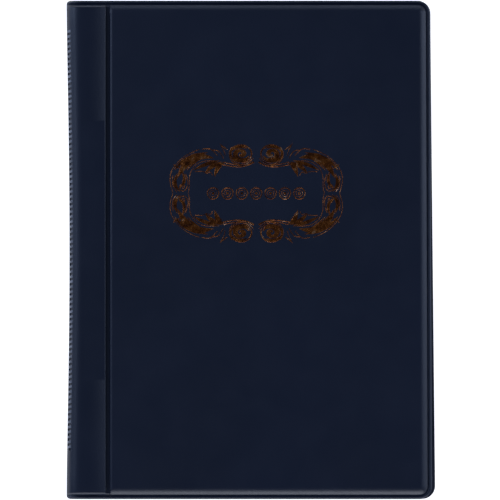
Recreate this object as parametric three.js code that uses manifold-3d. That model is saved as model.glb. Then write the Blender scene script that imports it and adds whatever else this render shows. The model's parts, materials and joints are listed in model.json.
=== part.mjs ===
// A closed pocket album for coins, lying on its back cover. Millimetres, +Z up.
// The spine runs along Y at the -X side, the head is at +Y, and the front cover faces +Z.
// The origin is the middle of the footprint, on the back cover's outer face.
import * as THREE from 'three';
import { mergeVertices } from 'three/addons/utils/BufferGeometryUtils.js';
import Module from 'manifold-3d';

const wasm = await Module();
wasm.setup();

// Overall sizes
const albumHeight = 170; // head to foot
const backReach = 125.8; // spine edge to the back cover's fore-edge
const frontSetback = 1.1; // how much shorter the front cover is at the fore-edge
const foreTaper = { front: 0.6, back: 1.7 }; // how much narrower each cover is at the head
const spineWaist = 1.35; // how far the spine edge draws in at mid-height

// Covers, from the outer face inwards
const skinThickness = 0.4;
const foamThickness = 0.7;
const boardThickness = 1.05;
const liningThickness = 0.3;
const layerGap = 0.05; // between glued layers
const boardMargin = 3; // welded border outside a cover's board
const foamMargin = 5; // foam stops short of the board, under the rounded edge
const foreCornerRadius = 4.4;
const hingeCornerRadius = 0.8;
const cornerSegments = 5;

// Hinges
const hingeInset = 14; // spine edge to the middle of a hinge groove
const grooveWidth = 1.4;
const grooveFilmThickness = 0.35;
const grooveFilmLift = 0.3; // lining to the groove's film
const hingeFilmGap = 0.05;

// Spine
const spineSkinThickness = 0.5;
const spineBoardThickness = 0.8;
const spineBoardInset = 0.6; // spine board's top and bottom, from the strips' linings
const shoulderReach = 4.8; // spine edge to the strip boards, past the rounded shoulder
const stripBoardInset = 1.2; // strip board to the hinge groove
const spineClearance = 0.1; // between the spine's wall, its board and the leaves' margins
const waistSegments = 8;

// Leaves
const leafCount = 10;
const leafPitch = 0.85;
const sheetThickness = 0.22;
const seamThickness = 0.2;
const filmThickness = 0.2;
const filmGap = 0.01; // between the three layers of a leaf
const blockGap = 0.15; // between the leaves and each cover's lining
const leafHingeGap = 0.3; // leaf edge to the middle of the hinge groove, on each side
const leafForeSetback = 3; // behind the front cover's fore-edge
const leafEndSetback = 3; // below the head and above the foot

// Pockets
const pocketColumns = 3;
const pocketRows = 4;
const seamWidth = 1.6;
const slitWidth = 26;
const slitOpening = 0.8;
const slitDrop = 3.5; // pocket's upper seam to the slit
const notchRadius = 4;
const notchSegments = 4;
const cutOverrun = 1; // how far a cutter reaches past the face it opens

// Worked out from the sizes above
const boardDepth = skinThickness + layerGap + foamThickness + layerGap;
const liningDepth = boardDepth + boardThickness + layerGap;
const grooveDepth = liningDepth - grooveFilmLift - grooveFilmThickness; // outer face to the film
const coverThickness = liningDepth + liningThickness;
const blockThickness = leafCount * leafPitch + 2 * blockGap;
const albumThickness = 2 * coverThickness + blockThickness;
const leafThickness = sheetThickness + seamThickness + filmThickness + 2 * filmGap;
const spineX = -backReach / 2;
const hingeX = spineX + hingeInset;
const stripReach = hingeInset - grooveWidth / 2;
const coverX = hingeX + grooveWidth / 2;
const foreX = { front: spineX + backReach - frontSetback, back: spineX + backReach };
const halfHeight = albumHeight / 2;
const leafX = hingeX + leafHingeGap;
const leafWidth = foreX.front - foreTaper.front - leafForeSetback - leafX;
const leafHalfHeight = halfHeight - leafEndSetback;
const pocketWidth = (leafWidth - (pocketColumns + 1) * seamWidth) / pocketColumns;
const spineBoardX = spineWaist + spineSkinThickness + spineClearance; // from the spine edge
const marginX = spineBoardX + spineBoardThickness + spineClearance; // from the spine edge
const pocketHeight = (2 * leafHalfHeight - (pocketRows + 1) * seamWidth) / pocketRows;

const finishes = {
  skin: { color: 0x161c2b, roughness: 0.5, metalness: 0 },
  foam: { color: 0xd8d6cf, roughness: 0.9, metalness: 0 },
  board: { color: 0x8d8778, roughness: 0.85, metalness: 0 },
  lining: { color: 0x1a2030, roughness: 0.6, metalness: 0 },
  sheet: { color: 0xdfe6ea, roughness: 0.25, metalness: 0 },
  seam: { color: 0xc9d2d8, roughness: 0.45, metalness: 0 },
};

const album = new THREE.Group();

function addPiece(parent, name, finish, geometry, position) {
  const mesh = new THREE.Mesh(geometry, new THREE.MeshStandardMaterial(finishes[finish]));
  mesh.name = name;
  mesh.position.set(...position);
  parent.add(mesh);
}

// A block with its low-X side at x = 0, centred on Y, standing on z = 0.
function block(width, length, height) {
  return new THREE.BoxGeometry(width, length, height).translate(width / 2, 0, height / 2);
}

// Outline with its hinge side at x = 0, centred on Y, narrower by `taper` at the head.
function coverOutline(width, length, taper) {
  const top = length / 2;
  const round = foreCornerRadius;
  const small = hingeCornerRadius;
  const slope = taper / length; // fore-edge's drift towards the spine, per millimetre
  const headWidth = width - taper;
  const shape = new THREE.Shape();
  shape.moveTo(small, -top);
  shape.lineTo(width - round, -top);
  shape.absarc(width - round, round - top, round, -Math.PI / 2, -slope, false);
  shape.lineTo(headWidth, top - round);
  shape.absarc(headWidth - round, top - round, round, slope, Math.PI / 2, false);
  shape.lineTo(small, top);
  shape.absarc(small, top - small, small, Math.PI / 2, Math.PI, false);
  shape.lineTo(0, small - top);
  shape.absarc(small, small - top, small, Math.PI, 1.5 * Math.PI, false);
  return shape;
}

// Strip from the spine edge, which curves in towards mid-height, to a straight side at x = reach.
function waistedOutline(reach) {
  const top = albumHeight / 2;
  const shape = new THREE.Shape();
  shape.moveTo(reach, -top);
  shape.lineTo(reach, top);
  shape.lineTo(0, top);
  shape.quadraticCurveTo(2 * spineWaist, 0, 0, -top);
  return shape;
}

// The spine's wall: both sides follow the same curve.
function wallOutline() {
  const top = albumHeight / 2;
  const shape = new THREE.Shape();
  shape.moveTo(spineSkinThickness, -top);
  shape.quadraticCurveTo(spineSkinThickness + 2 * spineWaist, 0, spineSkinThickness, top);
  shape.lineTo(0, top);
  shape.quadraticCurveTo(2 * spineWaist, 0, 0, -top);
  return shape;
}

function plate(shape, thickness, curveSegments) {
  return new THREE.ExtrudeGeometry(shape, { depth: thickness, bevelEnabled: false, curveSegments });
}

// A closed mesh as a solid that can be cut.
function toSolid(geometry) {
  const bare = geometry.clone();
  bare.deleteAttribute('normal');
  bare.deleteAttribute('uv');
  const merged = mergeVertices(bare, 1e-4);
  return new wasm.Manifold(new wasm.Mesh({
    numProp: 3,
    vertProperties: new Float32Array(merged.attributes.position.array),
    triVerts: new Uint32Array(merged.index.array),
  }));
}

function toGeometry(solid) {
  const mesh = solid.getMesh();
  const geometry = new THREE.BufferGeometry();
  geometry.setAttribute('position', new THREE.BufferAttribute(mesh.vertProperties, 3));
  geometry.setIndex(new THREE.BufferAttribute(mesh.triVerts, 1));
  geometry.computeVertexNormals();
  return geometry;
}

// Lowest z of a layer whose outer side lies `depth` inside the outer face of the front or back.
function layerBase(side, depth, thickness) {
  return side === 'front' ? albumThickness - depth - thickness : depth;
}

// A cover's vinyl: a plate with a stepped recess, open to the inside, for the board and the foam.
function coverSkin(side, width) {
  const thickness = liningDepth - layerGap;
  const boardRecess = boardThickness + layerGap;
  const foamRecess = thickness - skinThickness;
  let skin = toSolid(plate(coverOutline(width, albumHeight, foreTaper[side]), thickness, cornerSegments));
  for (const [margin, depth] of [[boardMargin, boardRecess], [foamMargin, foamRecess]]) {
    const cutter = block(
      width - foreTaper[side] - 2 * margin, albumHeight - 2 * margin, depth + cutOverrun);
    cutter.translate(margin, 0, side === 'front' ? -cutOverrun : thickness - depth);
    skin = skin.subtract(toSolid(cutter));
  }
  return toGeometry(skin);
}

function addCover(side) {
  const cover = new THREE.Group();
  cover.position.set(coverX, 0, 0);
  album.add(cover);
  const width = foreX[side] - coverX;
  addPiece(cover, `${side}_cover_skin`, 'skin', coverSkin(side, width),
    [0, 0, layerBase(side, 0, liningDepth - layerGap)]);
  const foamX = foamMargin + layerGap;
  addPiece(cover, `${side}_cover_foam`, 'foam',
    block(width - foreTaper[side] - 2 * foamX, albumHeight - 2 * foamX, foamThickness),
    [foamX, 0, layerBase(side, skinThickness + layerGap, foamThickness)]);
  const boardX = boardMargin + layerGap;
  addPiece(cover, `${side}_cover_board`, 'board',
    block(width - foreTaper[side] - 2 * boardX, albumHeight - 2 * boardX, boardThickness),
    [boardX, 0, layerBase(side, boardDepth, boardThickness)]);
  addPiece(cover, `${side}_cover_lining`, 'lining',
    plate(coverOutline(width, albumHeight, foreTaper[side]), liningThickness, cornerSegments),
    [0, 0, layerBase(side, liningDepth, liningThickness)]);
}

// The strip between the spine edge and a hinge groove, and the film on the groove's floor.
function addHingeStrip(side) {
  const strip = new THREE.Group();
  strip.position.set(spineX, 0, 0);
  album.add(strip);
  const boardBase = skinThickness + layerGap; // depth of the board's outer side
  const stripBoardThickness = liningDepth - layerGap - boardBase;
  addPiece(strip, `${side}_strip_skin`, 'skin',
    plate(waistedOutline(stripReach), skinThickness, waistSegments),
    [0, 0, layerBase(side, 0, skinThickness)]);
  addPiece(strip, `${side}_strip_board`, 'board',
    block(stripReach - stripBoardInset - shoulderReach, albumHeight - 2 * foamMargin, stripBoardThickness),
    [shoulderReach, 0, layerBase(side, boardBase, stripBoardThickness)]);
  addPiece(strip, `${side}_strip_lining`, 'lining',
    block(stripReach - marginX, albumHeight, liningThickness),
    [marginX, 0, layerBase(side, liningDepth, liningThickness)]);
  addPiece(strip, `${side}_groove_film`, 'skin',
    block(grooveWidth - 2 * hingeFilmGap, albumHeight, grooveFilmThickness),
    [stripReach + hingeFilmGap, 0, layerBase(side, grooveDepth, grooveFilmThickness)]);
}

// The upright wall of the spine: its vinyl, and the stiffener behind it.
function addSpine() {
  const spine = new THREE.Group();
  spine.position.set(spineX, 0, 0);
  album.add(spine);
  const wallBase = skinThickness + layerGap;
  addPiece(spine, 'spine_skin', 'skin',
    plate(wallOutline(), albumThickness - 2 * wallBase, waistSegments), [0, 0, wallBase]);
  const boardBase = coverThickness + spineBoardInset;
  addPiece(spine, 'spine_board', 'board',
    block(spineBoardThickness, 2 * leafHalfHeight, albumThickness - 2 * boardBase),
    [spineBoardX, 0, boardBase]);
}

// Calls `use` with the lower left corner of each pocket.
function forEachPocket(use) {
  for (let column = 0; column < pocketColumns; column += 1) {
    for (let row = 0; row < pocketRows; row += 1) {
      const x = seamWidth + column * (pocketWidth + seamWidth);
      const y = seamWidth + row * (pocketHeight + seamWidth) - leafHalfHeight;
      use(x, y);
    }
  }
}

// The welds between and around the pockets, as one grid.
function seamGrid() {
  let grid = toSolid(block(leafWidth, 2 * leafHalfHeight, seamThickness));
  forEachPocket((x, y) => {
    const window = block(pocketWidth, pocketHeight, seamThickness + 2 * cutOverrun);
    grid = grid.subtract(toSolid(window.translate(x, y + pocketHeight / 2, -cutOverrun)));
  });
  return toGeometry(grid);
}

// The front film: a slit with a thumb notch under it lets a coin into each pocket.
function pocketFilm() {
  let film = toSolid(block(leafWidth, 2 * leafHalfHeight, filmThickness));
  forEachPocket((x, y) => {
    const slit = new THREE.Shape();
    slit.moveTo(-slitWidth / 2, 0);
    slit.lineTo(-notchRadius, 0);
    slit.absarc(0, 0, notchRadius, Math.PI, 2 * Math.PI, false);
    slit.lineTo(slitWidth / 2, 0);
    slit.lineTo(slitWidth / 2, slitOpening);
    slit.lineTo(-slitWidth / 2, slitOpening);
    const cutter = plate(slit, filmThickness + 2 * cutOverrun, notchSegments);
    cutter.translate(x + pocketWidth / 2, y + pocketHeight - slitDrop - slitOpening, -cutOverrun);
    film = film.subtract(toSolid(cutter));
  });
  return toGeometry(film);
}

// A leaf turns about the hinge line; its margin stays welded in the spine.
function addLeaf(number) {
  const name = `leaf_${String(number).padStart(2, '0')}`;
  const slack = (leafPitch - leafThickness) / 2;
  const base = albumThickness - coverThickness - blockGap - number * leafPitch + slack;
  const leaf = new THREE.Group();
  leaf.position.set(leafX, 0, base);
  album.add(leaf);
  const seamBase = sheetThickness + filmGap;
  const filmBase = seamBase + seamThickness + filmGap;
  addPiece(leaf, `${name}_sheet`, 'sheet', block(leafWidth, 2 * leafHalfHeight, sheetThickness), [0, 0, 0]);
  addPiece(leaf, `${name}_seams`, 'seam', seamGrid(), [0, 0, seamBase]);
  addPiece(leaf, `${name}_film`, 'sheet', pocketFilm(), [0, 0, filmBase]);
  const marginWidth = hingeInset - leafHingeGap - marginX;
  addPiece(leaf, `${name}_margin`, 'seam',
    block(marginWidth, 2 * leafHalfHeight, leafThickness), [spineX + marginX - leafX, 0, 0]);
}

addSpine();
for (const side of ['front', 'back']) {
  addHingeStrip(side);
  addCover(side);
}
for (let number = 1; number <= leafCount; number += 1) {
  addLeaf(number);
}

export default album;
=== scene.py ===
# Coin album: padded vinyl covers, a ribbed spine and clear pocket leaves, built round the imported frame.
import json
import math

import bmesh
import bpy
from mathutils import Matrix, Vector

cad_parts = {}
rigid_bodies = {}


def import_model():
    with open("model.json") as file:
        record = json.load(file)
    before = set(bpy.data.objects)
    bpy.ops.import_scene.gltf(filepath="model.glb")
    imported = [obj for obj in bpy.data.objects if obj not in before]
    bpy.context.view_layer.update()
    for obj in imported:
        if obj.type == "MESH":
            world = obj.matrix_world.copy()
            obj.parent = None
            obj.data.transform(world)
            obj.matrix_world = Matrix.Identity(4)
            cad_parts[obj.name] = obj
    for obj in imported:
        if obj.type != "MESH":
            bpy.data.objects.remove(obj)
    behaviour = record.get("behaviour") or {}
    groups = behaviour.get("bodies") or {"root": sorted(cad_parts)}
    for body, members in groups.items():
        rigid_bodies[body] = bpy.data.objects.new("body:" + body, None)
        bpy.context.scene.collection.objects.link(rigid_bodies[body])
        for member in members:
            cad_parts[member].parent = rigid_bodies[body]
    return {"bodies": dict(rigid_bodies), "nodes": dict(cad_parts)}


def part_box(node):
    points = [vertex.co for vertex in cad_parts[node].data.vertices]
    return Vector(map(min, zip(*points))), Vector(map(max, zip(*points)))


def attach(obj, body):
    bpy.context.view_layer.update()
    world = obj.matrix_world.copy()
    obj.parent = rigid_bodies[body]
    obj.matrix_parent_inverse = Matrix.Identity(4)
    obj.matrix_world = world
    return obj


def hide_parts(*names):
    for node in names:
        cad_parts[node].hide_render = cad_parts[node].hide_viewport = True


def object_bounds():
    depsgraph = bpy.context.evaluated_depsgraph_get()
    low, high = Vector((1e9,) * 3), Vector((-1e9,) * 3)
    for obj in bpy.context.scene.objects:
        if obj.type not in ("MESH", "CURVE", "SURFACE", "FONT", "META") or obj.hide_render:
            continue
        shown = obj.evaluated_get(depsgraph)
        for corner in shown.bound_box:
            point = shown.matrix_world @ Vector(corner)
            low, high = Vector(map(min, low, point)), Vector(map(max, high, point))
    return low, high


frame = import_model()
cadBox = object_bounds()
mm = 0.001

frontLow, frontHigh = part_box("front_cover_skin")
backLow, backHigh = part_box("back_cover_skin")
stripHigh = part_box("front_strip_skin")[1]
albumTop = frontHigh.z
halfHeight = frontHigh.y
spineEdge = cadBox[0].x
leafCount = sum(1 for body in frame["bodies"] if body.startswith("leaf_"))


stageSetup = {
    "lens": 1400,
    "sensor": 36,
    "pictureHeight": 170.45 * mm,
    "cameraDrift": (-0.32 * mm, -0.02 * mm),  # the camera stands a touch off the middle
    "floorSize": 6.0,
    "floorColor": (0.93, 0.93, 0.93),
    "floorGlow": 0.90,
    "worldGrey": (0.95, 0.95, 0.95),  # the room as the camera sees it
    "worldSeen": 1.0,
    "worldTint": (0.75, 0.88, 1.0),  # the light it gives
    "worldLight": 0.075,
}

# Where each light stands, its size, its power and its colour.
softboxes = {
    "foot": ((0.03, -0.8, 0.23), (1.0, 0.34), 5.8, (0.86, 0.90, 1.0)),
    "spine": ((-1.1, 0.45, 0.66), (0.4, 1.2), 11.0, (0.54, 0.68, 1.0)),
    "fore": ((1.15, 0.25, 0.52), (0.6, 1.2), 7.4, (0.58, 0.71, 1.0)),
    "head": ((-0.1, 1.3, 0.42), (1.4, 0.3), 2.9, (0.62, 0.74, 1.0)),
}


def clearSelection():
    bpy.ops.object.select_all(action="DESELECT")


def addCamera():
    setup = stageSetup
    data = bpy.data.cameras.new("Camera")
    data.lens = setup["lens"]
    data.sensor_width = setup["sensor"]
    camera = bpy.data.objects.new("Camera", data)
    bpy.context.scene.collection.objects.link(camera)
    distance = setup["pictureHeight"] / setup["sensor"] * setup["lens"]
    driftX, driftY = setup["cameraDrift"]
    camera.location = (driftX, driftY, albumTop + distance)
    data.clip_start = 0.01
    data.clip_end = 50
    bpy.context.scene.camera = camera


# A soft box that faces the album.
def addSoftbox(name, place, size, power, color):
    data = bpy.data.lights.new(name, "AREA")
    data.shape = "RECTANGLE"
    data.size, data.size_y = size
    data.energy = power
    data.color = color
    light = bpy.data.objects.new(name, data)
    light.location = place
    light.rotation_euler = (-Vector(place)).to_track_quat("-Z", "Y").to_euler()
    bpy.context.scene.collection.objects.link(light)


def addFloor():
    clearSelection()
    bpy.ops.mesh.primitive_plane_add(size=stageSetup["floorSize"])
    floor = bpy.context.object
    floor.name = "floor"
    material = bpy.data.materials.new("floorPaper")
    material.use_nodes = True
    shader = material.node_tree.nodes["Principled BSDF"]
    shader.inputs["Base Color"].default_value = (*stageSetup["floorColor"], 1)
    shader.inputs["Roughness"].default_value = 0.9
    shader.inputs["Specular IOR Level"].default_value = 0.1
    shader.inputs["Emission Color"].default_value = (1, 1, 1, 1)
    shader.inputs["Emission Strength"].default_value = stageSetup["floorGlow"]
    floor.data.materials.append(material)


def addWorld():
    world = bpy.data.worlds.new("studio")
    bpy.context.scene.world = world
    world.use_nodes = True
    nodes, links = world.node_tree.nodes, world.node_tree.links
    background = nodes["Background"]
    background.inputs["Color"].default_value = (*stageSetup["worldTint"], 1)
    background.inputs["Strength"].default_value = stageSetup["worldLight"]
    seen = nodes.new("ShaderNodeBackground")
    seen.inputs["Color"].default_value = (*stageSetup["worldGrey"], 1)
    seen.inputs["Strength"].default_value = stageSetup["worldSeen"]
    path = nodes.new("ShaderNodeLightPath")
    mix = nodes.new("ShaderNodeMixShader")
    links.new(path.outputs["Is Camera Ray"], mix.inputs["Fac"])
    links.new(background.outputs["Background"], mix.inputs[1])
    links.new(seen.outputs["Background"], mix.inputs[2])
    links.new(mix.outputs["Shader"], nodes["World Output"].inputs["Surface"])


bpy.context.scene.view_settings.view_transform = "Standard"
addCamera()
addFloor()
addWorld()
for name, (place, size, power, color) in softboxes.items():
    addSoftbox(f"{name}Softbox", place, size, power, color)
print("stage ready")


def newMaterial(name, roughness):
    material = bpy.data.materials.new(name)
    material.use_nodes = True
    shader = material.node_tree.nodes["Principled BSDF"]
    shader.inputs["Roughness"].default_value = roughness
    return material, material.node_tree.nodes, material.node_tree.links, shader


def objectPoint(nodes, links, stretch=(1, 1, 1)):
    source = nodes.new("ShaderNodeTexCoord")
    mapping = nodes.new("ShaderNodeMapping")
    mapping.inputs["Scale"].default_value = stretch
    links.new(source.outputs["Object"], mapping.inputs["Vector"])
    return mapping.outputs["Vector"]


def addNoise(nodes, links, point, scale, detail=3, distortion=0):
    noise = nodes.new("ShaderNodeTexNoise")
    noise.inputs["Scale"].default_value = scale
    noise.inputs["Detail"].default_value = detail
    noise.inputs["Distortion"].default_value = distortion
    links.new(point, noise.inputs["Vector"])
    return noise.outputs["Fac"]


def addRamp(nodes, links, value, stops):
    ramp = nodes.new("ShaderNodeValToRGB")
    elements = ramp.color_ramp.elements
    while len(elements) < len(stops):
        elements.new(0.5)
    for element, (position, color) in zip(elements, stops):
        element.position = position
        element.color = (*color, 1) if len(color) == 3 else color
    links.new(value, ramp.inputs["Fac"])
    return ramp.outputs["Color"]


def addRange(nodes, links, value, low, high):
    remap = nodes.new("ShaderNodeMapRange")
    remap.inputs["To Min"].default_value = low
    remap.inputs["To Max"].default_value = high
    links.new(value, remap.inputs["Value"])
    return remap.outputs["Result"]


def addMath(nodes, links, operation, first, second):
    node = nodes.new("ShaderNodeMath")
    node.operation = operation
    for socket, source in zip(node.inputs, (first, second)):
        if isinstance(source, (int, float)):
            socket.default_value = source
        else:
            links.new(source, socket)
    return node.outputs["Value"]


def addBump(nodes, links, height, distance, strength, shader):
    bump = nodes.new("ShaderNodeBump")
    bump.inputs["Distance"].default_value = distance
    bump.inputs["Strength"].default_value = strength
    links.new(height, bump.inputs["Height"])
    links.new(bump.outputs["Normal"], shader.inputs["Normal"])


vinylFinish = {
    "dark": (0.0018, 0.0058, 0.0188),
    "light": (0.0029, 0.0076, 0.0232),
    "roughness": (0.40, 0.50),
    "pebbleScale": 1500,
    "pebbleDepth": 0.035 * mm,
    "fineScale": 5200,
    "fineShare": 0.35,  # height of the fine grain, as a share of the pebbles'
    "grainStrength": 0.6,
    "patchScale": 22,
    "sheenScale": 90,
}


# Embossed vinyl: pebbled cells with a fine grain on them, and patches of sheen.
def makeVinyl(name, finish):
    material, nodes, links, shader = newMaterial(name, 0.45)
    point = objectPoint(nodes, links)
    patches = addNoise(nodes, links, point, finish["patchScale"], detail=4)
    tint = addRamp(nodes, links, patches, [(0.3, finish["dark"]), (0.7, finish["light"])])
    links.new(tint, shader.inputs["Base Color"])
    sheen = addNoise(nodes, links, point, finish["sheenScale"], detail=5, distortion=0.4)
    links.new(addRange(nodes, links, sheen, *finish["roughness"]), shader.inputs["Roughness"])
    cells = nodes.new("ShaderNodeTexVoronoi")
    cells.feature = "SMOOTH_F1"
    cells.inputs["Scale"].default_value = finish["pebbleScale"]
    cells.inputs["Smoothness"].default_value = 0.6
    links.new(point, cells.inputs["Vector"])
    fine = addNoise(nodes, links, point, finish["fineScale"], detail=2)
    height = addMath(nodes, links, "ADD", cells.outputs["Distance"],
                     addMath(nodes, links, "MULTIPLY", fine, finish["fineShare"]))
    addBump(nodes, links, height, finish["pebbleDepth"], finish["grainStrength"], shader)
    shader.inputs["IOR"].default_value = 1.46
    return material


# Pressed fibres, for the boards and the foam.
def makeBoard(name, colors, scale):
    material, nodes, links, shader = newMaterial(name, 0.9)
    point = objectPoint(nodes, links, (1, 1, 4))
    fibres = addNoise(nodes, links, point, scale, detail=8, distortion=1.5)
    links.new(addRamp(nodes, links, fibres, [(0.35, colors[0]), (0.65, colors[1])]),
              shader.inputs["Base Color"])
    addBump(nodes, links, fibres, 0.06 * mm, 0.5, shader)
    return material


clearFinish = {
    "tint": ((0.80, 0.85, 0.88), (0.90, 0.93, 0.95)),
    "sheetAlpha": 0.20,
    "weldAlpha": 0.62,
    "knurlPitch": 0.5 * mm,
    "wavePitch": 0.31,  # the wave texture's own pitch, at a scale of 1
    "waveDepth": 0.9 * mm,
}


# Clear vinyl with a faint haze in it.
def makeClear(name, alpha, roughness):
    material, nodes, links, shader = newMaterial(name, roughness)
    point = objectPoint(nodes, links, (1, 1, 6))
    haze = addNoise(nodes, links, point, 60, detail=3)
    links.new(addRamp(nodes, links, haze, [(0.3, clearFinish["tint"][0]), (0.7, clearFinish["tint"][1])]),
              shader.inputs["Base Color"])
    links.new(addRange(nodes, links, haze, roughness * 0.8, roughness * 1.4), shader.inputs["Roughness"])
    shader.inputs["Alpha"].default_value = alpha
    shader.inputs["IOR"].default_value = 1.5
    return material, nodes, links, shader


# Soft waves, as in a film that has been welded along its edges.
def makeClearVinyl():
    material, nodes, links, shader = makeClear("clearVinyl", clearFinish["sheetAlpha"], 0.14)
    point = objectPoint(nodes, links, (1, 0.7, 1))
    waves = addNoise(nodes, links, point, 55, detail=2, distortion=0.8)
    addBump(nodes, links, waves, clearFinish["waveDepth"], 0.6, shader)
    return material


# Frosted vinyl with the crossed lines that a welding bar leaves.
def makeWeldedVinyl():
    material, nodes, links, shader = makeClear("weldedVinyl", clearFinish["weldAlpha"], 0.34)
    ridges = []
    for turn in (45, -45):
        source = nodes.new("ShaderNodeTexCoord")
        mapping = nodes.new("ShaderNodeMapping")
        mapping.inputs["Rotation"].default_value = (0, 0, math.radians(turn))
        links.new(source.outputs["Object"], mapping.inputs["Vector"])
        wave = nodes.new("ShaderNodeTexWave")
        wave.inputs["Scale"].default_value = clearFinish["wavePitch"] / clearFinish["knurlPitch"]
        links.new(mapping.outputs["Vector"], wave.inputs["Vector"])
        ridges.append(wave.outputs["Fac"])
    addBump(nodes, links, addMath(nodes, links, "ADD", *ridges), 0.08 * mm, 0.8, shader)
    return material


coverVinyl = makeVinyl("coverVinyl", vinylFinish)
# A much lighter vinyl for the rib bars: a painted highlight standing in for the light the bars catch from
# the soft boxes and the floor.
paintedRibHighlight = makeVinyl("paintedRibHighlight", {**vinylFinish, "dark": (0.030, 0.040, 0.062),
                                        "light": (0.120, 0.135, 0.175), "patchScale": 260})
liningVinyl = makeVinyl("liningVinyl", {**vinylFinish, "roughness": (0.5, 0.62), "pebbleScale": 2400})
greyBoard = makeBoard("greyBoard", ((0.20, 0.185, 0.16), (0.33, 0.31, 0.27)), 900)
paddingFoam = makeBoard("paddingFoam", ((0.62, 0.61, 0.56), (0.80, 0.79, 0.75)), 1800)
clearVinyl = makeClearVinyl()
weldedVinyl = makeWeldedVinyl()
print("finishes ready")


def finishNode(node, material):
    for slot in frame["nodes"][node].material_slots:
        slot.material = material


for side in ("front", "back"):
    finishNode(f"{side}_cover_lining", liningVinyl)
    finishNode(f"{side}_strip_lining", liningVinyl)
    finishNode(f"{side}_cover_board", greyBoard)
    finishNode(f"{side}_strip_board", greyBoard)
    finishNode(f"{side}_cover_foam", paddingFoam)
finishNode("spine_board", greyBoard)
for number in range(1, leafCount + 1):
    finishNode(f"leaf_{number:02d}_sheet", clearVinyl)
    finishNode(f"leaf_{number:02d}_film", clearVinyl)
    finishNode(f"leaf_{number:02d}_seams", weldedVinyl)
    finishNode(f"leaf_{number:02d}_margin", weldedVinyl)


def addBox(name, low, high):
    clearSelection()
    low, high = Vector(low), Vector(high)
    bpy.ops.mesh.primitive_cube_add(size=1, location=(low + high) / 2)
    piece = bpy.context.object
    piece.name = piece.data.name = name
    piece.scale = high - low
    bpy.ops.object.transform_apply(location=True, rotation=False, scale=True)
    return piece


def openForEditing(piece, kind):
    clearSelection()
    piece.select_set(True)
    bpy.context.view_layer.objects.active = piece
    bpy.ops.object.mode_set(mode="EDIT")
    bpy.ops.mesh.select_mode(type=kind)


# Selects the vertices, edges or faces that pass the test.
def pick(piece, kind, test):
    bpy.ops.mesh.select_all(action="DESELECT")
    bpy.ops.mesh.select_mode(type=kind)
    mesh = bmesh.from_edit_mesh(piece.data)
    group = {"VERT": mesh.verts, "EDGE": mesh.edges, "FACE": mesh.faces}[kind]
    for element in group:
        if test(element):
            element.select_set(True)
    mesh.select_flush_mode()
    bmesh.update_edit_mesh(piece.data)


def closeEditing(piece, smoothAngle=35):
    bpy.ops.object.mode_set(mode="OBJECT")
    bpy.ops.object.shade_smooth_by_angle(angle=math.radians(smoothAngle))


def recalculateNormals():
    bpy.ops.mesh.select_all(action="SELECT")
    bpy.ops.mesh.remove_doubles(threshold=0.002 * mm)
    bpy.ops.mesh.normals_make_consistent(inside=False)


def near(value, target, slack=0.02 * mm):
    return abs(value - target) < slack


squarely = 0.9  # how squarely a face has to look along an axis to be picked


# The welded border, as (distance in from the edge, height above the lining) in millimetres.
border = {
    "bead": [(0.0, 0.36), (0.20, 0.56), (0.45, 0.73), (0.68, 0.80), (0.88, 0.77), (1.05, 0.62)],
    "groove": [(1.16, 0.55), (1.38, 0.53), (1.52, 0.94)],
    "riseWidth": 2.75,  # the whole border stays narrower than the covers' corner radius
    "riseSteps": 9,
    "riseSpread": 1.3,
    "riseRound": 2.2,
    "fullHeight": 2.25,
}


# The border's points from the outside inwards, in metres, with the rise to the padded panel.
def borderProfile(riseWidth=border["riseWidth"] * mm):
    points = [(d * mm, h * mm) for d, h in border["bead"] + border["groove"]]
    startD, startH = points[-1]
    rise = border["fullHeight"] * mm - startH
    for step in range(1, border["riseSteps"] + 1):
        share = (step / border["riseSteps"]) ** border["riseSpread"]
        lift = 1 - (1 - share) ** border["riseRound"]
        points.append((startD + riseWidth * share, startH + rise * lift))
    return points


coverShape = {
    "cornerRadius": 4.4 * mm,
    "cornerSegments": 9,
    "spare": 12 * mm,  # extra length past the hinge side, cut off once the border is shaped
    "taper": {"front": 0.6 * mm, "back": 1.7 * mm},
    "hollow": {"front": 0.3 * mm, "back": 0.0},  # how far the fore-edge draws in at its middle
    "boardInset": 3.0 * mm,
    "boardRecess": 1.10 * mm,
    "foamInset": 2.0 * mm,
    "foamRecess": 0.75 * mm,
    # The rounding at the hinge side: millimetres in, and the share of the full height.
    "hingeRound": [(0.0, 0.66), (0.12, 0.80), (0.34, 0.91), (0.70, 0.98), (1.2, 1.0)],
}


def pushFaces(rise):
    bpy.ops.mesh.extrude_region_move(TRANSFORM_OT_translate={"value": (0, 0, rise)})


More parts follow.
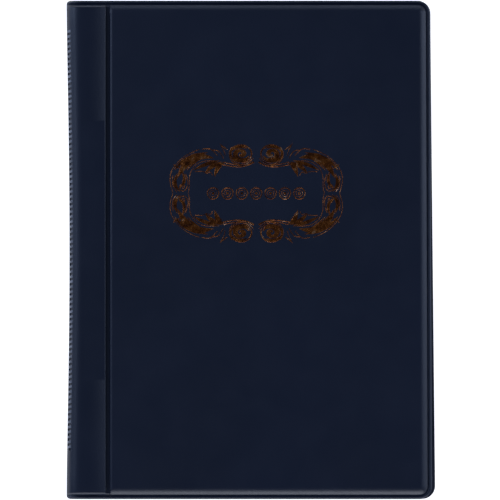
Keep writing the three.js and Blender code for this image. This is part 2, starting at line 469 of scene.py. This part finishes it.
# One padded cover: a plate whose rim is inset step by step into the border, with a recess for the
# board and the foam behind it, and a rounded hinge side.
def makeCover(side, low, high):
    shape = coverShape
    outward = 1 if side == "front" else -1
    liningZ = low.z if side == "front" else high.z
    profile = borderProfile()
    edgeZ = liningZ + outward * profile[0][1]
    lowZ, highZ = sorted((liningZ, edgeZ))
    piece = addBox(f"{side}_cover_vinyl", (low.x - shape["spare"], low.y, lowZ), (high.x, high.y, highZ))
    openForEditing(piece, "VERT")
    pick(piece, "VERT", lambda v: v.co.x > 0 and v.co.y > 0)
    bpy.ops.transform.translate(value=(-shape["taper"][side], 0, 0))
    pick(piece, "EDGE", lambda e: abs(e.verts[0].co.z - e.verts[1].co.z) > 0.1 * mm
         and e.verts[0].co.x > 0)
    bpy.ops.mesh.bevel(offset=shape["cornerRadius"], segments=shape["cornerSegments"], affect="EDGES")
    pick(piece, "FACE", lambda f: f.normal.z * outward > squarely)
    for (d0, h0), (d1, h1) in zip(profile, profile[1:]):
        bpy.ops.mesh.inset(thickness=d1 - d0, depth=h1 - h0, use_even_offset=True)
    bpy.ops.mesh.select_all(action="SELECT")
    bpy.ops.mesh.bisect(plane_co=(low.x, 0, 0), plane_no=(1, 0, 0), use_fill=True, clear_inner=True)
    pick(piece, "FACE", lambda f: f.normal.z * outward < -squarely)
    bpy.ops.mesh.inset(thickness=shape["boardInset"])
    pushFaces(outward * shape["boardRecess"])
    bpy.ops.mesh.inset(thickness=shape["foamInset"])
    pushFaces(outward * shape["foamRecess"])
    for distance, _ in shape["hingeRound"][1:]:
        bpy.ops.mesh.select_all(action="SELECT")
        bpy.ops.mesh.bisect(plane_co=(low.x + distance * mm, 0, 0), plane_no=(1, 0, 0))
    for distance, share in shape["hingeRound"]:
        loopX = low.x + distance * mm
        pick(piece, "VERT", lambda v: near(v.co.x, loopX) and not near(v.co.z, liningZ))
        bpy.ops.transform.resize(value=(1, 1, share), center_override=(0, 0, liningZ))
    recalculateNormals()
    closeEditing(piece)
    for vertex in piece.data.vertices:
        share = max(0, vertex.co.x / high.x) ** 2
        vertex.co.x -= shape["hollow"][side] * share * (1 - (vertex.co.y / halfHeight) ** 2)
    piece.data.materials.append(coverVinyl)
    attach(piece, f"{side}_cover")
    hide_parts(f"{side}_cover_skin")


makeCover("front", frontLow, frontHigh)
makeCover("back", backLow, backHigh)
print("covers ready")


hingeWelt = {
    "height": 1.25 * mm,  # above the lining, between the two ends
    "endLength": 2.0 * mm,
}


# The thin vinyl in the hinge groove, with the covers' bead across its two ends.
def makeHingeWelt(side):
    outward = 1 if side == "front" else -1
    low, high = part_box(f"{side}_groove_film")
    liningZ = frontLow.z if side == "front" else backHigh.z
    profile = borderProfile()[:len(border["bead"]) + 2]
    profile.append((hingeWelt["endLength"], hingeWelt["height"]))
    bottomZ = low.z if side == "front" else high.z
    floorZ = liningZ + outward * profile[-1][1]
    middleHalf = halfHeight - profile[-1][0]
    lowZ, highZ = sorted((bottomZ, floorZ))
    piece = addBox(f"{side}_hinge_welt", (low.x, -middleHalf, lowZ), (high.x, middleHalf, highZ))
    openForEditing(piece, "FACE")
    for end in (1, -1):
        pick(piece, "FACE", lambda f: f.normal.y * end > squarely)
        lastD, lastH = profile[-1]
        for distance, height in reversed(profile[:-1]):
            bpy.ops.mesh.extrude_region_move(
                TRANSFORM_OT_translate={"value": (0, end * (lastD - distance), 0)})
            thickness = liningZ + outward * height - bottomZ
            lastThickness = liningZ + outward * lastH - bottomZ
            bpy.ops.transform.resize(value=(1, 1, thickness / lastThickness),
                                     center_override=(0, 0, bottomZ))
            lastD, lastH = distance, height
    recalculateNormals()
    closeEditing(piece)
    piece.data.materials.append(coverVinyl)
    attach(piece, "spine")
    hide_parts(f"{side}_groove_film")


makeHingeWelt("front")
makeHingeWelt("back")
print("hinge welts ready")


spineShape = {
    "thickness": 0.4 * mm,
    # The shoulder's section: how far in from the spine edge, and how far below the strip's face.
    "shoulder": [(4.8, 0.0), (3.8, 0.07), (3.0, 0.22), (2.4, 0.44), (2.0, 0.64), (1.65, 0.71),
                 (1.25, 0.98), (0.65, 1.58), (0.1, 2.40), (0.0, 3.3)],
    "ribPitch": 1.707 * mm,
    "ribRows": 90,
    "ribBand": (0.1 * mm, 1.25 * mm),  # in from the spine edge
    "ribInset": 0.08 * mm,
    "ribDepth": 0.32 * mm,  # how deep the hollows between the ribs are pressed
    "ribLean": 0.30 * mm,  # how far a rib slants across the band
    "ribEnds": (-0.80, 0.88),  # where the ribs stop, as shares of the half height
    "endRise": 0.9 * mm,  # width of the border's rise at the head and foot
    "waist": 1.0 * mm,
    "waistCurve": 1.5,
    "lipRound": (0.25 * mm, 0.2 * mm),
    "grooveLip": 1.5 * mm,
    "cornerRadius": 1.3 * mm,
}


# Points round the spine from the front strip's flat to the back strip's groove.
def spineProfile():
    upper = [(spineEdge + reach * mm, albumTop - drop * mm) for reach, drop in spineShape["shoulder"]]
    lower = [(x, albumTop - z) for x, z in reversed(upper)]
    lipIn, lipDrop = spineShape["lipRound"]
    flat = [(stripHigh.x - lipIn, 0), (stripHigh.x, lipDrop), (stripHigh.x, spineShape["grooveLip"])]
    return upper[1:] + lower + flat


# One wrapped piece: a grid on the front strip, carried round the shoulder and the wall edge by edge.
def makeSpine():
    shape = spineShape
    lipIn, lipDrop = shape["lipRound"]
    rowCount = shape["ribRows"] * 2
    bodyHalf = shape["ribRows"] * shape["ribPitch"] / 2
    startX = spineEdge + shape["shoulder"][0][0] * mm
    endX = stripHigh.x - lipIn
    clearSelection()
    bpy.ops.mesh.primitive_grid_add(x_subdivisions=1, y_subdivisions=rowCount, size=1,
                                    location=((startX + endX) / 2, 0, albumTop))
    piece = bpy.context.object
    piece.name = piece.data.name = "spine_vinyl"
    piece.scale = (endX - startX, 2 * bodyHalf, 1)
    bpy.ops.object.transform_apply(location=True, rotation=False, scale=True)
    openForEditing(piece, "EDGE")
    pick(piece, "EDGE", lambda e: all(near(v.co.x, endX) for v in e.verts))
    for dx, dz in ((lipIn, -lipDrop), (0, lipDrop - shape["grooveLip"])):
        bpy.ops.mesh.extrude_edges_move(TRANSFORM_OT_translate={"value": (dx, 0, dz)})
    pick(piece, "EDGE", lambda e: all(near(v.co.x, startX) for v in e.verts))
    place = (startX, albumTop)
    for x, z in spineProfile():
        bpy.ops.mesh.extrude_edges_move(
            TRANSFORM_OT_translate={"value": (x - place[0], 0, z - place[1])})
        place = (x, z)
    piece.data.materials.append(coverVinyl)
    # second slot: the lighter vinyl with the painted highlight for the rib bars
    piece.data.materials.append(paintedRibHighlight)
    shapeSpineEnds(piece, bodyHalf)
    pressRibs(piece, bodyHalf)
    bpy.ops.object.mode_set(mode="OBJECT")
    drawInWaist(piece)
    openForEditing(piece, "FACE")
    recalculateNormals()
    closeEditing(piece, 40)
    wall = piece.modifiers.new("wall", "SOLIDIFY")
    wall.thickness = shape["thickness"]
    wall.offset = -1
    bpy.ops.object.modifier_apply(modifier="wall")
    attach(piece, "spine")
    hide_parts("spine_skin", "front_strip_skin", "back_strip_skin")


# The head and foot ends follow the covers' welded border, and the spine edge rounds into them.
def shapeSpineEnds(piece, bodyHalf):
    profile = borderProfile(spineShape["endRise"])
    fullHeight = profile[-1][1]
    radius = spineShape["cornerRadius"]
    middle = (stripHigh.x, 0, albumTop / 2)
    fullWidth = stripHigh.x - spineEdge
    for end in (1, -1):
        pick(piece, "EDGE", lambda e: all(near(v.co.y, end * bodyHalf) for v in e.verts))
        lastY, lastDepth, lastWidth = bodyHalf, albumTop / 2, fullWidth
        for distance, height in reversed(profile):
            y = halfHeight - distance
            depth = albumTop / 2 - (fullHeight - height)
            cornerIn = max(0, radius - distance)
            width = fullWidth - radius + math.sqrt(radius ** 2 - cornerIn ** 2)
            bpy.ops.mesh.extrude_edges_move(TRANSFORM_OT_translate={"value": (0, end * (y - lastY), 0)})
            bpy.ops.transform.resize(value=(width / lastWidth, 1, depth / lastDepth),
                                     center_override=middle)
            lastY, lastDepth, lastWidth = y, depth, width


# The ribs are what is left between the hollows pressed into the spine edge.
def pressRibs(piece, bodyHalf):
    shape = spineShape
    bandOut, bandIn = shape["ribBand"]
    rowHeight = shape["ribPitch"] / 2
    firstShare, lastShare = shape["ribEnds"]

    def onBand(face):
        centre = face.calc_center_median()
        return bandOut < centre.x - spineEdge < bandIn and firstShare < centre.y / halfHeight < lastShare

    def inHollow(face):
        lean = shape["ribLean"] * (0.25 if face.calc_center_median().x - spineEdge > bandIn / 2 else 0.75)
        return int((face.calc_center_median().y + lean + bodyHalf) / rowHeight) % 2 == 0

    inner = shape["shoulder"][-3][0] * mm  # the shoulder line in the middle of the band
    for reach, lean in ((bandOut, 1.0), (inner, 0.5)):
        pick(piece, "VERT", lambda v: near(v.co.x - spineEdge, reach)
             and abs(v.co.y) < bodyHalf - 0.1 * mm)
        bpy.ops.transform.translate(value=(0, -shape["ribLean"] * lean, 0))
    # The rib bars between the hollows get the lighter vinyl, a painted highlight.
    pick(piece, "FACE", lambda face: onBand(face) and not inHollow(face))
    piece.active_material_index = 1
    bpy.ops.object.material_slot_assign()
    pick(piece, "FACE", lambda face: onBand(face) and inHollow(face))
    bpy.ops.mesh.inset(thickness=shape["ribInset"], depth=-shape["ribDepth"])


# The spine edge draws in towards the middle of its height, and the groove side stays.
def drawInWaist(piece):
    reach = stripHigh.x - spineEdge
    for vertex in piece.data.vertices:
        share = 1 - (vertex.co.x - spineEdge) / reach
        arc = max(0, 1 - (vertex.co.y / halfHeight) ** 2) ** spineShape["waistCurve"]
        vertex.co.x += spineShape["waist"] * arc * share


makeSpine()
print("spine ready")


foilShape = {
    "centre": (1.8 * mm, 19.3 * mm),
    "lift": 0.045 * mm,  # the foil lies under the hinge line, 0.1 mm above the cover
    "sink": 0.02 * mm,
    "stagger": 0.0015 * mm,  # strokes that cross don't share one face
    "staggerSteps": 12,
    "flatness": 0.3,
    "coinCount": 7,
    "coinSpacing": 4.9 * mm,
    "coinRadius": 1.95 * mm,
    "coinRings": ((1.0, 0.17), (0.58, 0.10), (0.12, 0.24)),  # share of the radius, width in millimetres
}


foilFinish = {
    # from where the foil is rubbed thin to where it's bright
    "tints": [(0.34, (0.072, 0.022, 0.010)), (0.48, (0.18, 0.054, 0.014)),
              (0.62, (0.30, 0.100, 0.024)), (0.80, (0.76, 0.50, 0.32))],
    "rubScale": 420,
    "creaseScale": 1500,
    "creaseDepth": 0.12 * mm,
    "roughness": (0.22, 0.5),
}


def makeFoil():
    finish = foilFinish
    material, nodes, links, shader = newMaterial("copperFoil", 0.34)
    point = objectPoint(nodes, links)
    rubbed = addNoise(nodes, links, point, finish["rubScale"], detail=5, distortion=0.6)
    links.new(addRamp(nodes, links, rubbed, finish["tints"]), shader.inputs["Base Color"])
    shader.inputs["Metallic"].default_value = 1.0
    creases = addNoise(nodes, links, point, finish["creaseScale"], detail=3, distortion=1.2)
    links.new(addRange(nodes, links, creases, *finish["roughness"]), shader.inputs["Roughness"])
    addBump(nodes, links, creases, finish["creaseDepth"], 1.0, shader)
    return material


copperFoil = makeFoil()


# Points round a flattened spiral that winds inwards.
def spiral(centre, start, turns, outer, inner, squash=1.0, count=14):
    points = []
    for step in range(count + 1):
        share = step / count
        angle = math.radians(start) + turns * 2 * math.pi * share
        radius = outer + (inner - outer) * share ** 0.8
        points.append((centre[0] + radius * math.cos(angle),
                       centre[1] + radius * math.sin(angle) * squash))
    return points


# Widths of a stroke that is thin at its ends and widest at the peak.
def swell(count, widest, peak=0.4, tip=0.08):
    widths = []
    for step in range(count):
        share = step / (count - 1)
        ramp = share / peak if share < peak else (1 - share) / (1 - peak)
        widths.append(max(tip, widest * math.sin(math.pi / 2 * ramp) ** 0.8))
    return widths


# One foil stroke, as a tube through the points that is then pressed flat on the cover.
def addStroke(points, widths, order):
    data = bpy.data.curves.new("stroke", "CURVE")
    data.dimensions = "3D"
    data.bevel_depth = mm
    data.bevel_resolution = 2
    data.use_fill_caps = True
    data.resolution_u = 4
    line = data.splines.new("NURBS")
    line.points.add(len(points) - 1)
    line.order_u = 3
    line.use_endpoint_u = True
    for point, place, width in zip(line.points, points, widths):
        point.co = (place[0] * mm, place[1] * mm, 0, 1)
        point.radius = width
    stroke = bpy.data.objects.new("stroke", data)
    bpy.context.scene.collection.objects.link(stroke)
    clearSelection()
    stroke.select_set(True)
    bpy.context.view_layer.objects.active = stroke
    bpy.ops.object.convert(target="MESH")
    top = foilShape["lift"] - order % foilShape["staggerSteps"] * foilShape["stagger"]
    for vertex in stroke.data.vertices:
        vertex.co.z = max(-foilShape["sink"], min(top, vertex.co.z * foilShape["flatness"]))
    return stroke


def joinStrokes(name, strokes):
    clearSelection()
    for stroke in strokes:
        stroke.select_set(True)
    bpy.context.view_layer.objects.active = strokes[0]
    bpy.ops.object.join()
    piece = bpy.context.object
    piece.name = piece.data.name = name
    return piece


def placeFoil(piece):
    piece.location = (*foilShape["centre"], albumTop)
    openForEditing(piece, "FACE")
    recalculateNormals()
    closeEditing(piece, 30)
    bpy.ops.object.transform_apply(location=True, rotation=False, scale=False)
    piece.data.materials.append(copperFoil)
    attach(piece, "front_cover")


# A quarter of the frame, in millimetres out from its middle: (points, widths).
def quarterStrokes():
    strokes = []

    def line(points, width):
        strokes.append((points, [width] * len(points)))

    def leaf(points, widest, peak=0.4):
        strokes.append((points, swell(len(points), widest, peak)))

    # the big scroll at the middle of the long side
    line(spiral((5.0, 13.3), 215, 1.15, 4.9, 3.2, 0.86, 22), 0.17)
    line(spiral((5.0, 13.3), 200, 1.0, 4.2, 3.3, 0.86, 20), 0.13)
    leaf(spiral((5.1, 13.3), 190, 0.85, 2.8, 1.6, 0.85), 0.95)
    leaf(spiral((5.2, 13.4), 30, 0.9, 1.9, 0.2, 0.8), 0.8)
    leaf([(8.2, 15.9), (9.0, 14.2), (8.6, 12.3), (7.2, 10.9)], 0.5)
    leaf([(3.2, 15.3), (5.0, 16.1), (7.6, 15.6), (9.2, 13.7)], 0.55)
    leaf([(2.9, 11.9), (4.7, 10.9), (7.1, 11.1), (8.7, 12.4)], 0.6)
    # two lines that run from the scroll to the leaf
    line([(0.7, 10.6), (2.6, 9.6), (5.4, 9.0), (8.4, 9.2), (11.4, 9.8)], 0.16)
    line([(1.6, 11.3), (3.4, 10.2), (5.8, 9.7), (8.4, 9.9), (11.2, 10.7)], 0.13)
    # the leaf that points into the frame
    leaf([(10.9, 10.4), (12.7, 9.7), (13.6, 8.0), (14.2, 5.7)], 0.85, 0.45)
    leaf([(11.6, 10.7), (14.1, 9.9), (16.2, 8.4), (17.4, 6.8)], 0.85, 0.45)
    leaf([(12.6, 11.2), (15.7, 10.4), (18.8, 9.3), (21.4, 7.9)], 0.75, 0.45)
    line([(13.4, 6.9), (12.6, 8.4), (11.7, 9.2)], 0.13)
    line([(14.9, 6.1), (15.4, 7.6), (17.0, 6.6), (17.9, 7.7), (20.9, 7.4)], 0.12)
    # the thick band of leaf round the corner
    leaf([(14.6, 12.0), (18.0, 12.9), (21.8, 11.9), (25.0, 9.0), (26.9, 5.2)], 1.45, 0.55)
    leaf([(16.6, 13.9), (20.2, 13.3), (23.6, 11.7), (26.2, 9.3)], 0.75, 0.5)
    leaf([(20.9, 13.6), (24.0, 12.0), (26.4, 9.9), (27.9, 7.9)], 0.55, 0.6)
    leaf([(26.0, 8.6), (27.3, 8.9), (28.3, 9.9)], 0.5, 0.4)
    leaf([(18.6, 11.9), (21.7, 10.1), (23.6, 7.9)], 0.45, 0.4)
    # loose sprays above the band
    line([(11.2, 11.9), (12.0, 13.6), (13.4, 14.9), (15.3, 14.7)], 0.13)
    line([(13.2, 12.8), (14.4, 14.3), (16.2, 15.6), (18.4, 15.0)], 0.13)
    leaf([(9.8, 14.9), (11.1, 15.6), (12.4, 16.9)], 0.35)
    line([(10.6, 12.8), (10.9, 14.8), (12.0, 16.1)], 0.12)
    # the short side
    leaf([(26.9, 6.8), (27.9, 4.4), (27.5, 2.1), (25.9, 0.5)], 0.75, 0.45)
    leaf([(25.2, 7.6), (24.3, 5.2), (24.9, 2.9), (26.3, 1.6)], 0.6, 0.45)
    line([(24.1, 6.6), (23.3, 4.3), (23.1, 2.4), (24.3, 0.9)], 0.15)
    line(spiral((25.1, 2.2), 250, 1.1, 1.5, 0.4, 1.0, 14), 0.16)
    line([(28.4, 5.9), (28.7, 3.6), (28.1, 1.6), (27.0, 0.5)], 0.14)
    # fine outlines that tie the quarters together
    line([(19.4, 15.0), (23.0, 13.7), (26.4, 11.1), (28.8, 8.0),
          (29.5, 5.2), (29.2, 2.4), (28.4, 0.1)], 0.12)
    line([(13.8, 11.1), (17.4, 11.3), (20.4, 10.0), (22.3, 7.6),
          (22.9, 4.8), (22.6, 2.2), (23.2, 0.1)], 0.11)
    return strokes


def makeScrollFrame():
    strokes = [addStroke(points, widths, order)
               for order, (points, widths) in enumerate(quarterStrokes())]
    piece = joinStrokes("foil_scroll_frame", strokes)
    mirror = piece.modifiers.new("quarters", "MIRROR")
    mirror.use_axis = (True, True, False)
    mirror.use_mirror_merge = False
    bpy.ops.object.modifier_apply(modifier="quarters")
    placeFoil(piece)


def ring(centre, radius, count=16):
    turn = 2 * math.pi / count
    return [(centre + radius * math.cos(turn * step), radius * math.sin(turn * step))
            for step in range(count + 1)]


# A row of coins, each a rim, an inner ring and a dot.
def makeCoinRow():
    shape = foilShape
    strokes = []
    for index in range(shape["coinCount"]):
        middle = (index - (shape["coinCount"] - 1) / 2) * shape["coinSpacing"] / mm
        for share, width in shape["coinRings"]:
            points = ring(middle, shape["coinRadius"] / mm * share)
            strokes.append(addStroke(points, [width] * len(points), len(strokes)))
    placeFoil(joinStrokes("foil_coin_row", strokes))


makeScrollFrame()
makeCoinRow()
print("foil ready")
